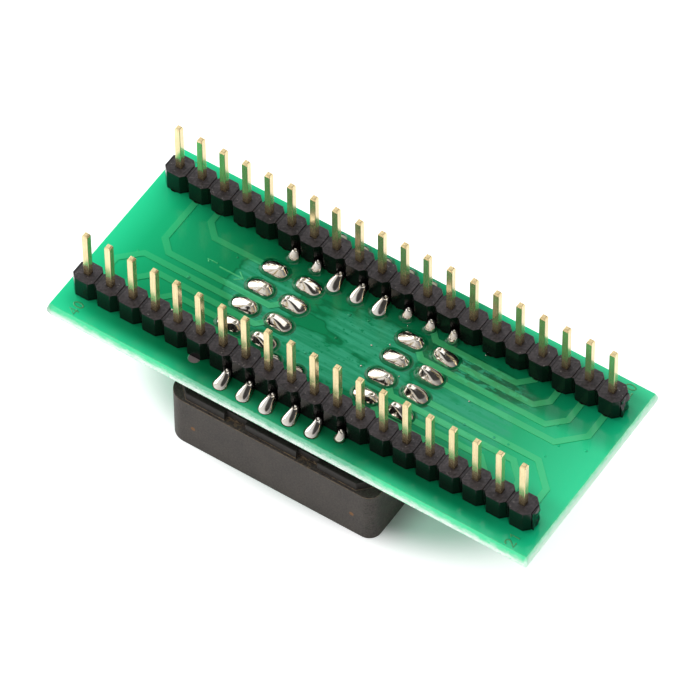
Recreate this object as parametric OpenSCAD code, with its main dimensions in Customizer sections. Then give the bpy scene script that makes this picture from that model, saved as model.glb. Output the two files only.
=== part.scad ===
// Adapter that carries a chip with leads on four sides to two rows of header pins.
// It lies as it is soldered: socket rim on the table, header pins up, board between them.

/* [Board] */
// Thickness of the board
board_thickness = 1.6; // [0.8:0.1:2.4]
// Board beyond each end of a header strip
end_margin = 1.3; // [0.6:0.1:6]
// Board beyond each pin row
side_margin = 3.68; // [3.5:0.01:8]
// How far the pin rows stand left of the middle of the board
row_shift = 0.22; // [0:0.01:0.5]
// How far the snapped edge stands out of the scored faces
edge_bevel = 0.2; // [0.05:0.01:0.4]
// Height of the flat band along the middle of a snapped edge
edge_band = 0.4; // [0.3:0.1:1.2]
// Thickness of the copper and its mask
copper_thickness = 0.05; // [0.03:0.005:0.1]
// Width of a track
track_width = 0.65; // [0.4:0.01:0.8]
// Copper ring left round a hole
pad_ring = 0.17; // [0.1:0.01:0.25]
// Play of a pin or tail in its hole, on each side
hole_play = 0.05; // [0.02:0.01:0.1]

/* [Header strips] */
// Height of the plastic strip
strip_height = 2.5; // [1.5:0.1:5]
// Width of the plastic strip
strip_width = 2.5; // [2.2:0.01:2.54]
// Room left in a notch, from its floor to the socket tail in front of it
notch_room = 0.57; // [0.5:0.01:0.65]
// Width of the break groove across the top
groove_width = 0.26; // [0.1:0.01:0.5]
// Depth of the break groove
groove_depth = 0.1; // [0.04:0.01:0.3]
// Length of the broken nub on the right end of a strip
nub_length = 0.3; // [0.05:0.01:0.5]
// Width of that nub
nub_width = 1.2; // [0.6:0.1:1.3]
// Thickness of a square pin
pin_size = 0.64; // [0.5:0.01:0.7]
// Pin length above the strip
pin_reach = 5.8; // [3:0.1:9]
// Pin length below the board
pin_tail = 0.5; // [0.3:0.05:0.8]
// Length of the taper at a pin's ends
pin_taper = 0.24; // [0.2:0.01:0.45]
// Width of the flat left at a pin's ends
pin_flat = 0.4; // [0.1:0.01:0.45]
// Play of a pin in its strip, on each side
strip_play = 0.01; // [0.005:0.005:0.03]
// How far a header pad shows past the inner edge of its strip
pad_show = 0.1; // [0:0.01:0.2]

/* [Socket] */
// Outer width of the socket
socket_width = 23.2; // [22.8:0.1:26]
// Radius of the socket's upright corners
socket_corner = 1.8; // [0.8:0.1:2.4]
// Height of the outer wall
wall_height = 6.4; // [6:0.1:9]
// Thickness of the outer wall behind the contact slots
wall_thickness = 1.2; // [0.8:0.05:1.4]
// Height of the stepped base above the outer wall
base_height = 1.05; // [0.8:0.05:1.6]
// Step from the outer wall to the base
base_step = 0.3; // [0.1:0.05:0.6]
// Chamfer on the corners of the base
base_chamfer = 1.8; // [1:0.05:2.2]
// Width of the recesses in the sides of the base
recess_width = 2.3; // [1:0.05:3]
// Depth of those recesses
recess_depth = 0.45; // [0.2:0.05:0.6]
// Distance from the middle of a side to a recess
recess_offset = 4; // [3:0.1:6]
// Depth of the chip cavity
cavity_depth = 5.2; // [4.4:0.1:5.4]
// Cavity wall inside the outer ring of tails
cavity_setback = 0.05; // [0:0.01:0.15]
// Chamfer of the cavity's index corner
index_chamfer = 1.6; // [0.8:0.1:2.2]
// Width of the two extraction corners
extraction_width = 3; // [2:0.1:4]
// Reach of the extraction corners past the cavity's corner
extraction_reach = 1; // [0.5:0.1:1.2]
// Width of a contact slot
slot_width = 0.74; // [0.66:0.01:0.85]
// Plastic over the contact slots
slot_roof = 0.3; // [0.2:0.05:0.5]
// Depth of the channels for the inner contacts' feet
channel_depth = 0.6; // [0.4:0.05:0.7]
// Width of a stand-off
standoff_width = 1.1; // [0.8:0.1:1.3]
// Room between the base and the header pins' solder
base_gap = 0.15; // [0.1:0.05:0.5]
// Diameter of a locating peg
peg_diameter = 1.15; // [0.9:0.01:1.2]
// Distance from the socket's side to a locating peg
peg_inset = 1.5; // [1.4:0.05:1.7]

/* [Contacts] */
// Width of a contact
contact_width = 0.46; // [0.36:0.01:0.52]
// Thickness of a contact
contact_thickness = 0.25; // [0.18:0.01:0.3]
// Play of a contact in the socket, on each side
contact_play = 0.05; // [0.02:0.01:0.08]
// How far a contact's bow stands into the cavity
bow_reach = 0.3; // [0.15:0.05:0.5]
// Height of the bow above the rim
bow_height = 2; // [1.6:0.1:2.4]
// Rise of the sloping arm from the bow to the wall
arm_rise = 1.9; // [1.5:0.1:2.1]
// Height of a contact's free end above the rim
lip_height = 0.8; // [0.4:0.1:1.2]
// Tail length above the board
tail_height = 0.75; // [0.7:0.05:1.5]

/* [Solder] */
// Height of a joint at its tail
joint_height = 0.62; // [0.4:0.02:0.64]
// Radius of a joint's round end
joint_radius = 0.74; // [0.5:0.01:0.78]
// Distance from the tail to a long joint's round end
joint_run = 1.2; // [0.8:0.05:1.3]
// Radius of a short joint's round end
stub_radius = 0.57; // [0.42:0.01:0.58]
// Distance from the tail to a short joint's round end
stub_run = 0.3; // [0.2:0.05:0.4]
// Solder left round a tail at the top of its joint
solder_film = 0.06; // [0.04:0.01:0.08]
// Room left round a tail or pin in its joint
solder_room = 0.03; // [0.01:0.01:0.04]
// Solder over the cut end of a header pin
solder_cap = 0.1; // [0.05:0.01:0.2]
// Bare rim of a pad round its solder
pad_rim = 0.03; // [0.01:0.01:0.06]

/* [Hidden] */
// Standard grid of the holes, and half of it between the chip's leads
grid = 2.54;
lead_pitch = grid / 2;
pins_per_row = 20;
row_offset = 3 * grid;
// The socket stands half a grid step off the middle of the rows
row_x = -row_shift;
socket_x = row_x - grid / 2;
outer_ring = 3.5 * grid;
inner_ring = 2.5 * grid;
contacts_per_side = 11;

board_length = pins_per_row * grid + 2 * end_margin;
board_width = 2 * (row_offset + side_margin);
base_top = wall_height + base_height;
standoff_height = pin_tail + solder_cap + base_gap;
board_bottom = base_top + standoff_height;
board_top = board_bottom + board_thickness;
copper_top = board_top + copper_thickness;
strip_top = copper_top + strip_height;
pin_top = strip_top + pin_reach;
pin_bottom = board_bottom - pin_tail;
tail_top = board_top + tail_height;

pin_hole = pin_size * sqrt(2) + 2 * hole_play;
tail_diagonal = norm([contact_width, contact_thickness]);
tail_hole = tail_diagonal + 2 * hole_play;
peg_hole = peg_diameter + 2 * hole_play;
tail_room = tail_diagonal / 2 + solder_room;
collar_radius = tail_room + solder_film;
header_pad = pin_hole / 2 + pad_ring;
socket_half = socket_width / 2;
base_half = socket_half - base_step;
cavity_half = outer_ring - cavity_setback;
slot_outer = socket_half - wall_thickness;
slot_inner = outer_ring - contact_thickness / 2 - contact_play;
slot_top = wall_height - slot_roof;
channel_floor = base_top - channel_depth;
arm_at = slot_outer - contact_play - contact_thickness / 2;
// The outer contacts' sideways step from the tail to the arm, under the slot's roof
shoulder_top = slot_top - 2 * contact_thickness;
shoulder_bottom = shoulder_top - 3 * contact_thickness;
foot_bottom = channel_floor + contact_play;
pegs = [[-1, -1], [1, 1]];
cut = 0.1;
$fn = 48;

// Holes under the socket, in grid steps from its middle:
// six in the outer ring and five in the inner ring on each side
outer_steps = [-2.5 : 1 : 2.5];
inner_steps = [-2 : 1 : 2];
// A joint: its hole in grid steps, and the way its solder runs, one for a long joint, less for a short one
stub = stub_run / joint_run;
front_joints = concat(
    [for (x = outer_steps) [x, -3.5, 0, x < 2 ? -1 : -stub]],
    [for (x = [-2.5 : 1 : 1.5]) [x, -2.5, 0, x == -1.5 || x == -0.5 ? 1 : stub]]);
rear_joints = concat(
    [for (x = outer_steps) [x, 3.5, 0, x < 2 ? 1 : stub]],
    [for (x = [-1.5 : 1 : 2.5]) [x, 2.5, 0, abs(x + 0.5) < 1.5 ? -1 : -stub]]);
left_joints = concat(
    [for (y = outer_steps) abs(y) > 2 ? [-3.5, y, 0, -sign(y) * stub] : [-3.5, y, -1, 0]],
    [for (y = [-1.5 : 1 : 2.5]) y > 2 ? [-2.5, y, 0, -stub] : [-2.5, y, 1, 0]]);
right_joints = concat(
    [for (y = outer_steps) abs(y) > 2 ? [3.5, y, 0, -sign(y) * stub] : [3.5, y, 1, 0]],
    [for (y = [-2.5 : 1 : 1.5]) y < -2 ? [2.5, y, 0, stub] : [2.5, y, -1, 0]]);
all_joints = concat(front_joints, rear_joints, left_joints, right_joints);

// Tracks from a socket pad to a header pin, in grid steps from the middle of the pin rows:
// pad x, pad y, y of the straight lane, pin x, pin row, and the size of the last bend
pin_side_routes = [
    [3, 0.5, 0.5, 9.5, 3, 0.9],
    [2, 1.5, 1, 8.5, 3, 0.6],
    [3, 1.5, 1.5, 7.5, 3, 0.45],
    [2, 2.5, 2, 6.5, 3, 0.5],
    [3, -0.5, -0.5, 9.5, -3, 0.95],
    [2, -0.5, -1, 8.5, -3, 0.7],
    [3, -1.5, -1.5, 7.5, -3, 0.8],
    [2, -1.5, -2, 6.5, -3, 0.7],
    [-3, 0.5, 0, -8.5, 3, 0.5],
    [-4, 1.5, 1.5, -7.5, 3, 0.55],
    [-4, -0.5, -0.5, -9.5, -3, 0.75],
    [-3, -0.5, -1, -8.5, -3, 0.75],
    [-4, -1.5, -1.5, -7.5, -3, 0.8],
    [-3, -1.5, -2, -6.5, -3, 0.7]];
socket_side_routes = [
    [2, -2.5, -2, 5.5, -3, 0.5],
    [3, -2.5, -2.5, 4.5, -3, 0.4],
    [2, 0.5, 1, 5.5, 3, 0.5],
    [3, 2.5, 2.5, 4.5, 3, 0.4],
    [-4, 0.5, 0.5, -9.5, 3, 0.75],
    [-3, 1.5, 2, -6.5, 3, 0.5],
    [-4, 2.5, 2.5, -5.5, 3, 0.4],
    [-4, -2.5, -2.5, -5.5, -3, 0.4]];

// Corners of a track: out of its pad at 45 degrees, along its lane, round the bend and into the pin
function route_points(r) =
    let (along = sign(r[3] - r[0]), across = sign(r[4] - r[2]), shift = abs(r[2] - r[1]))
    grid * concat(
        [[r[0], r[1]]],
        shift > 0 ? [[r[0] + along * shift, r[2]]] : [],
        [[r[3] - along * r[5], r[2]], [r[3], r[2] + across * r[5]], [r[3], r[4]]]);

// Outline of a strip of even width along a path, with mitred corners
function unit(v) = v / norm(v);
function left_of(v) = [-v[1], v[0]];
function miter(path, i) =
    let (last = len(path) - 1,
         before = unit(path[max(i, 1)] - path[max(i, 1) - 1]),
         after = unit(path[min(i, last - 1) + 1] - path[min(i, last - 1)]),
         side = unit(left_of(before) + left_of(after)))
    side / (side * left_of(before));
function ribbon(path, width) = concat(
    [for (i = [0 : len(path) - 1]) path[i] + miter(path, i) * width / 2],
    [for (i = [len(path) - 1 : -1 : 0]) path[i] - miter(path, i) * width / 2]);

// Outline of a drop: a small round end at the origin and a larger one at the end of its run along +X
drop_steps = 8;
function drop(run, small, large) = [
    for (k = [0 : 2 * drop_steps - 1])
        let (far = k < drop_steps, turn = 180 * (k + 0.5) / drop_steps - 90)
        [(far ? run : 0) + (far ? large : small) * cos(turn), (far ? large : small) * sin(turn)]];

// Place of a header pin, numbered as on a dual in-line chip
function pin_place(i) = i < pins_per_row
    ? [row_x + (i - (pins_per_row - 1) / 2) * grid, row_offset]
    : [row_x + ((3 * pins_per_row - 1) / 2 - i) * grid, -row_offset];
function pin_name(i) = str("header_pin_", i < 9 ? "0" : "", i + 1);
function joint_run_of(j) = norm([j[2], j[3]]) * joint_run;
function joint_turn(j) = atan2(j[3], j[2]);
// A joint beside a header strip keeps clear of the notch that its tail stands in
function joint_tail_radius(j) = j[3] == 0 ? joint_radius : collar_radius;
function joint_end_radius(j) = norm([j[2], j[3]]) == 1 ? joint_radius : stub_radius;

module at_socket() {
    translate([socket_x, 0, 0]) children();
}

module at_pins(first, last) {
    for (i = [first : last]) translate(pin_place(i)) children();
}

module at_joint(j) {
    translate([socket_x + j[0] * grid, j[1] * grid, 0]) rotate(joint_turn(j)) children();
}

module at_pegs() {
    for (p = pegs)
        translate([socket_x + p[0] * (socket_half - peg_inset), p[1] * outer_ring, 0]) children();
}

// Every drilled hole, as bores through the board and its copper
module drilled_holes() {
    depth = board_thickness + 2 * copper_thickness + 2 * cut;
    translate([0, 0, board_bottom - copper_thickness - cut]) {
        at_pins(0, 2 * pins_per_row - 1) cylinder(d = pin_hole, h = depth);
        for (j = all_joints) at_joint(j) cylinder(d = tail_hole, h = depth);
        at_pegs() cylinder(d = peg_hole, h = depth);
    }
}

// Section of the board across a pair of scored edges
module board_section(width) {
    half = width / 2;
    low = (board_thickness - edge_band) / 2;
    polygon([
        [edge_bevel - half, 0], [half - edge_bevel, 0],
        [half, low], [half, board_thickness - low],
        [half - edge_bevel, board_thickness], [edge_bevel - half, board_thickness],
        [-half, board_thickness - low], [-half, low]]);
}

module circuit_board() {
    color("seagreen") difference() {
        translate([0, 0, board_bottom]) intersection() {
            rotate([90, 0, 0])
                linear_extrude(board_width, center = true) board_section(board_length);
            rotate([90, 0, 90])
                linear_extrude(board_length, center = true) board_section(board_width);
        }
        drilled_holes();
    }
}

module tracks(routes) {
    translate([row_x, 0]) for (r = routes) polygon(ribbon(route_points(r), track_width));
}

// Pads on the pin side follow the solder, and run out from under the header strips
module pin_side_pad_outline() {
    for (j = all_joints)
        translate([socket_x + j[0] * grid, j[1] * grid]) rotate(joint_turn(j))
            polygon(drop(joint_run_of(j), max(joint_tail_radius(j), tail_hole / 2 + pad_ring),
                joint_end_radius(j) + pad_rim));
    for (i = [0 : 2 * pins_per_row - 1])
        translate(pin_place(i)) rotate(i < pins_per_row ? -90 : 90)
            polygon(drop(strip_width / 2 + pad_show - header_pad, header_pad, header_pad));
}

module socket_side_pad_outline() {
    for (j = all_joints)
        translate([socket_x + j[0] * grid, j[1] * grid]) circle(r = tail_hole / 2 + 2 * pad_ring);
    at_pins(0, 2 * pins_per_row - 1) circle(r = header_pad);
}

module pin_side_tracks() {
    color("limegreen") translate([0, 0, board_top]) linear_extrude(copper_thickness) difference() {
        tracks(pin_side_routes);
        pin_side_pad_outline();
    }
}

module pin_side_pads() {
    color("gainsboro") difference() {
        translate([0, 0, board_top]) linear_extrude(copper_thickness) pin_side_pad_outline();
        drilled_holes();
    }
}

module socket_side_tracks() {
    color("limegreen") translate([0, 0, board_bottom - copper_thickness])
        linear_extrude(copper_thickness) difference() {
            union() {
                tracks(socket_side_routes);
                translate([row_x, 0]) for (x = [-3 : 2], s = [-1, 1])
                    polygon(ribbon(grid * [[x, 3.5 * s], [x - 0.5, 3 * s]], track_width));
            }
            socket_side_pad_outline();
        }
}

module socket_side_pads() {
    color("gainsboro") difference() {
        translate([0, 0, board_bottom - copper_thickness])
            linear_extrude(copper_thickness) socket_side_pad_outline();
        drilled_holes();
    }
}

// One edge of a strip, from notch to notch along +X
function strip_edge(side) =
    let (deep = grid / 2 - notch_room, out = strip_width / 2, first = -pins_per_row * grid / 2)
    [for (i = [0 : pins_per_row - 1], p = [[0, deep], [out - deep, out], [grid - out + deep, out]])
        [first + i * grid + p[0], side * p[1]]];

module header_strip(side) {
    half_length = pins_per_row * grid / 2;
    notch = grid / 2 - notch_room;
    top_edge = concat(strip_edge(1), [[half_length, notch]]);
    low_edge = concat(strip_edge(-1), [[half_length, -notch]]);
    color("#3a3638") translate([row_x, side * row_offset, copper_top]) difference() {
        union() {
            linear_extrude(strip_height)
                polygon(concat(top_edge, [for (i = [len(low_edge) - 1 : -1 : 0]) low_edge[i]]));
            translate([half_length + nub_length / 2, 0, (strip_height - groove_depth) / 2])
                cube([nub_length, nub_width, strip_height - groove_depth], center = true);
        }
        for (i = [1 : pins_per_row - 1])
            translate([i * grid - half_length, 0, strip_height])
                cube([groove_width, strip_width, 2 * groove_depth], center = true);
        for (i = [0 : pins_per_row - 1])
            translate([(i + 0.5) * grid - half_length, 0, strip_height / 2])
                cube([pin_size + 2 * strip_play, pin_size + 2 * strip_play, strip_height + 2 * cut],
                    center = true);
    }
}

module front_header_strip() {
    header_strip(-1);
}

module rear_header_strip() {
    header_strip(1);
}

// Side view of a pin, tapered at both ends
module pin_section() {
    half = pin_size / 2;
    flat = pin_flat / 2;
    polygon([
        [-half, pin_bottom + pin_taper], [-flat, pin_bottom], [flat, pin_bottom],
        [half, pin_bottom + pin_taper], [half, pin_top - pin_taper], [flat, pin_top],
        [-flat, pin_top], [-half, pin_top - pin_taper]]);
}

module header_pin(i) {
    color("palegoldenrod") translate(pin_place(i)) intersection() {
        rotate([90, 0, 0]) linear_extrude(pin_size, center = true) pin_section();
        rotate([90, 0, 90]) linear_extrude(pin_size, center = true) pin_section();
    }
}

// Rounded square outline
module rounded_square(width, radius) {
    inner = width - 2 * radius;
    square([width, inner], center = true);
    square([inner, width], center = true);
    for (x = [-1, 1], y = [-1, 1]) translate([x * inner / 2, y * inner / 2]) circle(r = radius);
}

module chamfered_square(half, chamfer) {
    flat = half - chamfer;
    polygon([[-flat, -half], [flat, -half], [half, -flat], [half, flat],
        [flat, half], [-flat, half], [-half, flat], [-half, -flat]]);
}

module on_four_sides() {
    for (turn = [0 : 90 : 270]) rotate(turn) children();
}

// The foot of an inner contact: in from its arm, then across to its tail
function foot_path(step, spare) =
    let (x = step * grid, diagonal = spare / sqrt(2))
    [[x, -arm_at - contact_thickness / 2 - spare],
     [x, -inner_ring - lead_pitch],
     [x - lead_pitch - diagonal, -inner_ring + diagonal]];

// Slots, tail holes and foot channels of one side, cut from the front
module contact_cuts() {
    deep = slot_outer - slot_inner;
    wide = contact_width + 2 * contact_play;
    thick = contact_thickness + 2 * contact_play;
    for (i = [0 : contacts_per_side - 1])
        translate([(i - (contacts_per_side - 1) / 2) * lead_pitch - slot_width / 2, -slot_outer, -cut])
            cube([slot_width, deep, slot_top + cut]);
    for (x = outer_steps)
        translate([x * grid - wide / 2, -outer_ring - thick / 2, slot_top - cut])
            cube([wide, thick, base_top - slot_top + 2 * cut]);
    for (x = inner_steps) {
        translate([x * grid - wide / 2, -arm_at - thick / 2, slot_top - cut])
            cube([wide, thick, base_top - slot_top + 2 * cut]);
        translate([0, 0, channel_floor]) linear_extrude(channel_depth + cut)
            polygon(ribbon(foot_path(x, contact_thickness), wide));
    }
}

module base_recesses() {
    for (s = [-1, 1])
        translate([s * recess_offset - recess_width / 2, -base_half - cut, wall_height])
            cube([recess_width, recess_depth + cut, base_height + cut]);
}

// The chip cavity, with its index corner filled and two corners opened for an extractor
module cavity_outline() {
    difference() {
        square(2 * cavity_half, center = true);
        translate([-cavity_half, cavity_half]) rotate(45)
            square(index_chamfer * sqrt(2), center = true);
    }
    for (turn = [45, 225])
        rotate(turn) translate([cavity_half * sqrt(2) / 2, -extraction_width / 2])
            square([cavity_half * sqrt(2) / 2 + extraction_reach, extraction_width]);
}

module socket_body() {
    color("#4a403b") {
        at_socket() difference() {
            union() {
                linear_extrude(wall_height) rounded_square(socket_width, socket_corner);
                linear_extrude(base_top) chamfered_square(base_half, base_chamfer);
                on_four_sides() translate([0, standoff_width - base_half, board_bottom / 2])
                    cube([standoff_width, standoff_width, board_bottom], center = true);
            }
            translate([0, 0, -cut]) linear_extrude(cavity_depth + cut) cavity_outline();
            on_four_sides() {
                contact_cuts();
                base_recesses();
            }
        }
        at_pegs() translate([0, 0, base_top]) cylinder(d = peg_diameter, h = board_top - base_top);
    }
}

// Spring arm seen along the wall: down the slot, out to the bow and back to the lip
function arm_below() = [
    [arm_at, bow_height + arm_rise],
    [cavity_half - bow_reach, bow_height],
    [cavity_half + bow_reach, lip_height]];
function outer_arm() = concat(
    [[outer_ring, tail_top], [outer_ring, shoulder_top], [arm_at, shoulder_bottom]],
    arm_below());
function inner_arm() = concat([[arm_at, foot_bottom + contact_thickness]], arm_below());

// A strip bent in the plane across the wall, standing on the front side at x
module bent_strip(x, path) {
    translate([x + contact_width / 2, 0, 0]) rotate([90, 0, -90])
        linear_extrude(contact_width) polygon(ribbon(path, contact_thickness));
}

module outer_contact(step) {
    bent_strip(step * grid, outer_arm());
}

module inner_contact(step) {
    bent_strip(step * grid, inner_arm());
    translate([0, 0, foot_bottom]) linear_extrude(contact_thickness)
        polygon(ribbon(foot_path(step, 0), contact_width));
    translate([step * grid - lead_pitch, -inner_ring, (tail_top + foot_bottom) / 2])
        cube([contact_width, contact_thickness, tail_top - foot_bottom], center = true);
}

module contact_row(turn) {
    color("silver") at_socket() rotate(turn) {
        for (x = outer_steps) outer_contact(x);
        for (x = inner_steps) inner_contact(x);
    }
}

module front_contacts() {
    contact_row(0);
}

module right_contacts() {
    contact_row(90);
}

module rear_contacts() {
    contact_row(180);
}

module left_contacts() {
    contact_row(270);
}

// Rise of the solder from the pad's edge to the tail: share of the way in, share of the height
joint_rise = [[0, 0], [0.06, 0.2], [0.2, 0.42], [0.42, 0.62], [0.68, 0.82], [0.88, 0.95], [1, 1]];

// A joint drawn up round its tail from a drop-shaped pad, with the tail's room left open
module solder_joint(run, small, large) {
    rings = concat(
        [for (r = joint_rise)
            let (keep = 1 - r[0], collar = collar_radius * r[0])
            [for (p = drop(run * keep, small * keep + collar, large * keep + collar))
                [p[0], p[1], r[1] * joint_height]]],
        [for (z = [joint_height, 0]) [for (p = drop(0, tail_room, tail_room)) [p[0], p[1], z]]]);
    count = 2 * drop_steps;
    faces = [for (j = [0 : len(rings) - 1], k = [0 : count - 1])
        let (a = j * count, b = ((j + 1) % len(rings)) * count, n = (k + 1) % count)
        [a + k, b + k, b + n, a + n]];
    polyhedron([for (r = rings) each r], faces);
}

module socket_solder(joints) {
    color("whitesmoke") translate([0, 0, copper_top])
        for (j = joints)
            at_joint(j) solder_joint(joint_run_of(j), joint_tail_radius(j), joint_end_radius(j));
}

module front_socket_solder() {
    socket_solder(front_joints);
}

module rear_socket_solder() {
    socket_solder(rear_joints);
}

module left_socket_solder() {
    socket_solder(left_joints);
}

module right_socket_solder() {
    socket_solder(right_joints);
}

// Low domes over the cut ends of one row of header pins
module header_solder(first) {
    room = pin_size / sqrt(2) + solder_room;
    reach = header_pad - pad_rim;
    inside = pin_tail - copper_thickness;
    outside = inside + solder_cap;
    color("whitesmoke") translate([0, 0, board_bottom - copper_thickness])
        at_pins(first, first + pins_per_row - 1) rotate_extrude()
            polygon([[room, 0], [reach, 0], [(room + reach) / 2, -inside / 2], [pin_size / 2, -outside],
                [0, -outside], [0, -inside], [pin_size / 2, -inside], [room, -inside / 2]]);
}

module front_header_solder() {
    header_solder(pins_per_row);
}

module rear_header_solder() {
    header_solder(0);
}

circuit_board();
pin_side_tracks();
pin_side_pads();
socket_side_tracks();
socket_side_pads();
front_header_strip();
rear_header_strip();
socket_body();
front_contacts();
rear_contacts();
left_contacts();
right_contacts();
front_socket_solder();
rear_socket_solder();
left_socket_solder();
right_socket_solder();
front_header_solder();
rear_header_solder();
for (i = [0 : 2 * pins_per_row - 1])
    header_pin(i);
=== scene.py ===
import math
import random

import bmesh
import bpy
from mathutils import Matrix, Vector, noise


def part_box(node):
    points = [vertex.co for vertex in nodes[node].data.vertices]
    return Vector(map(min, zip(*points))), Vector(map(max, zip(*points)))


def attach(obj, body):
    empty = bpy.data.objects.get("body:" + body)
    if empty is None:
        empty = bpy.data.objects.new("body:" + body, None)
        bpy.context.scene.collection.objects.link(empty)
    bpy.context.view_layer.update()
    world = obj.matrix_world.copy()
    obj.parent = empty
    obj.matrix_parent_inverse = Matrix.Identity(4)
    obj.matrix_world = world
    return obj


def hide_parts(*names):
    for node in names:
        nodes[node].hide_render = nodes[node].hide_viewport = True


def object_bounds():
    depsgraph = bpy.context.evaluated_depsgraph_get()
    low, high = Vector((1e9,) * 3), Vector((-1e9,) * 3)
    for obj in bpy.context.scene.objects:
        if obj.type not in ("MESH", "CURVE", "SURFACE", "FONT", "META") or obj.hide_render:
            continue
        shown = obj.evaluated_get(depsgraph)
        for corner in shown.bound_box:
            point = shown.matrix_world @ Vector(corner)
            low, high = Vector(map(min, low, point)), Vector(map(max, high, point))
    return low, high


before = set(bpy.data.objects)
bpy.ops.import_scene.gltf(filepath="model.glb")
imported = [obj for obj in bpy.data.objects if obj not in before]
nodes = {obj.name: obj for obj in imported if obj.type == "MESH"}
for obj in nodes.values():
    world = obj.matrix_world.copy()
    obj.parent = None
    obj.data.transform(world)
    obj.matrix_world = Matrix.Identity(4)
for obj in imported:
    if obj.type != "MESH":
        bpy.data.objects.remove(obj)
cadLow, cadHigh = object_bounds()
scene = bpy.context.scene
print("frame loaded:", len(nodes), "nodes")

mm = 0.001
hair = 0.001 * mm  # for comparing places
gridStep = 2.54 * mm
sides = ("front", "rear", "left", "right")
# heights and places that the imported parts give
boardLow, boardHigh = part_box("circuit_board")
boardTop = boardHigh.z
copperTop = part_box("pin_side_pads")[1].z
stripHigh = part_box("front_header_strip")[1]
stripTop = stripHigh.z
rowX = (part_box("header_pin_01")[0].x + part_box("header_pin_20")[1].x) / 2
socketLow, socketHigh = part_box("socket_body")
socketX = (socketLow.x + socketHigh.x) / 2
socketHalf = (socketHigh.x - socketLow.x) / 2


# helpers for shader trees

def put(tree, kind, inputs=None, **settings):
    node = tree.nodes.new(kind)
    for key, value in settings.items():
        setattr(node, key, value)
    for key, value in (inputs or {}).items():
        if isinstance(value, bpy.types.NodeSocket):
            tree.links.new(value, node.inputs[key])
        else:
            node.inputs[key].default_value = value
    return node


def calc(tree, operation, first, second=0.0):
    return put(tree, "ShaderNodeMath", {0: first, 1: second}, operation=operation).outputs[0]


def plus(tree, first, second):
    return calc(tree, "ADD", first, second)


def minus(tree, first, second):
    return calc(tree, "SUBTRACT", first, second)


def times(tree, first, second):
    return calc(tree, "MULTIPLY", first, second)


def gapTo(tree, value, middle):
    return calc(tree, "ABSOLUTE", minus(tree, value, middle))


def swing(tree, value, size):  # a noise value about its middle, made larger or smaller
    return times(tree, minus(tree, value, 0.5), size)


def ramp(tree, value, low, high, toLow=0.0, toHigh=1.0, kind="SMOOTHSTEP"):
    return put(tree, "ShaderNodeMapRange", {"Value": value, "From Min": low, "From Max": high,
               "To Min": toLow, "To Max": toHigh}, interpolation_type=kind).outputs["Result"]


def mixColour(tree, share, first, second):
    node = put(tree, "ShaderNodeMix", data_type="RGBA")
    for index, value in ((0, share), (6, first), (7, second)):
        if isinstance(value, bpy.types.NodeSocket):
            tree.links.new(value, node.inputs[index])
        else:
            node.inputs[index].default_value = value if index == 0 else (*value, 1.0)
    return node.outputs[2]


def scaled(tree, vector, factors):
    return put(tree, "ShaderNodeVectorMath", {0: vector, 1: factors}, operation="MULTIPLY").outputs[0]


def objectMm(tree):  # object coordinates in millimetres
    coords = put(tree, "ShaderNodeTexCoord").outputs["Object"]
    return scaled(tree, coords, (1 / mm, 1 / mm, 1 / mm))


def axesOf(tree, vector):
    return put(tree, "ShaderNodeSeparateXYZ", {0: vector}).outputs


def facingUp(tree):
    return axesOf(tree, put(tree, "ShaderNodeNewGeometry").outputs["Normal"])["Z"]


def noiseAt(tree, vector, scale, detail=2.0, roughness=0.5, output="Fac"):
    return put(tree, "ShaderNodeTexNoise", {"Vector": vector, "Scale": scale, "Detail": detail,
               "Roughness": roughness}).outputs[output]


def streaksAt(tree, vector, stretch, *grain):
    return noiseAt(tree, scaled(tree, vector, stretch), *grain)


def newGroup(name, inputs, outputs):
    group = bpy.data.node_groups.new(name, "ShaderNodeTree")
    for label in inputs:
        group.interface.new_socket(label, in_out="INPUT", socket_type="NodeSocketFloat")
    for label, kind in outputs.items():
        group.interface.new_socket(label, in_out="OUTPUT", socket_type="NodeSocket" + kind)
    return group, group.nodes.new("NodeGroupInput").outputs, group.nodes.new("NodeGroupOutput").inputs


def useGroup(tree, group, **values):
    node = put(tree, "ShaderNodeGroup", node_tree=group)
    for key, value in values.items():
        node.inputs[key].default_value = value
    return node.outputs


def newMaterial(name):
    material = bpy.data.materials.new(name)
    material.use_nodes = True
    tree = material.node_tree
    return material, tree, tree.nodes["Principled BSDF"]


def feed(tree, shader, **sockets):
    for key, value in sockets.items():
        socket = shader.inputs[key.replace("_", " ")]
        if isinstance(value, bpy.types.NodeSocket):
            tree.links.new(value, socket)
        else:
            socket.default_value = value


def bump(tree, height, distance, strength):
    inputs = {"Height": height, "Distance": distance, "Strength": strength}
    return put(tree, "ShaderNodeBump", inputs).outputs[0]


# shared effects; a noise is given by scale, detail and roughness, after its stretch if it has one,
# and a ramp by from, to and its two values

mouldGrain = {"fineDetail": (3.0, 0.6), "broad": 0.35, "broadSwing": 0.6, "range": 0.3}


def makeGrain():
    s = mouldGrain
    group, inside, outside = newGroup("mouldGrain", ["Scale", "Speckle"],
                                      {"Shade": "Float", "Height": "Float"})
    place = objectMm(group)
    fine = noiseAt(group, place, inside["Scale"], *s["fineDetail"])
    broad = noiseAt(group, place, s["broad"])
    total = plus(group, swing(group, fine, inside["Speckle"]), swing(group, broad, s["broadSwing"]))
    group.links.new(ramp(group, total, -s["range"], s["range"], kind="LINEAR"), outside["Shade"])
    group.links.new(fine, outside["Height"])
    return group


scratches = {"stretch": (9.0, 0.5, 1.0), "detail": (4.0, 0.7), "shown": (0.52, 0.72)}


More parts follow.
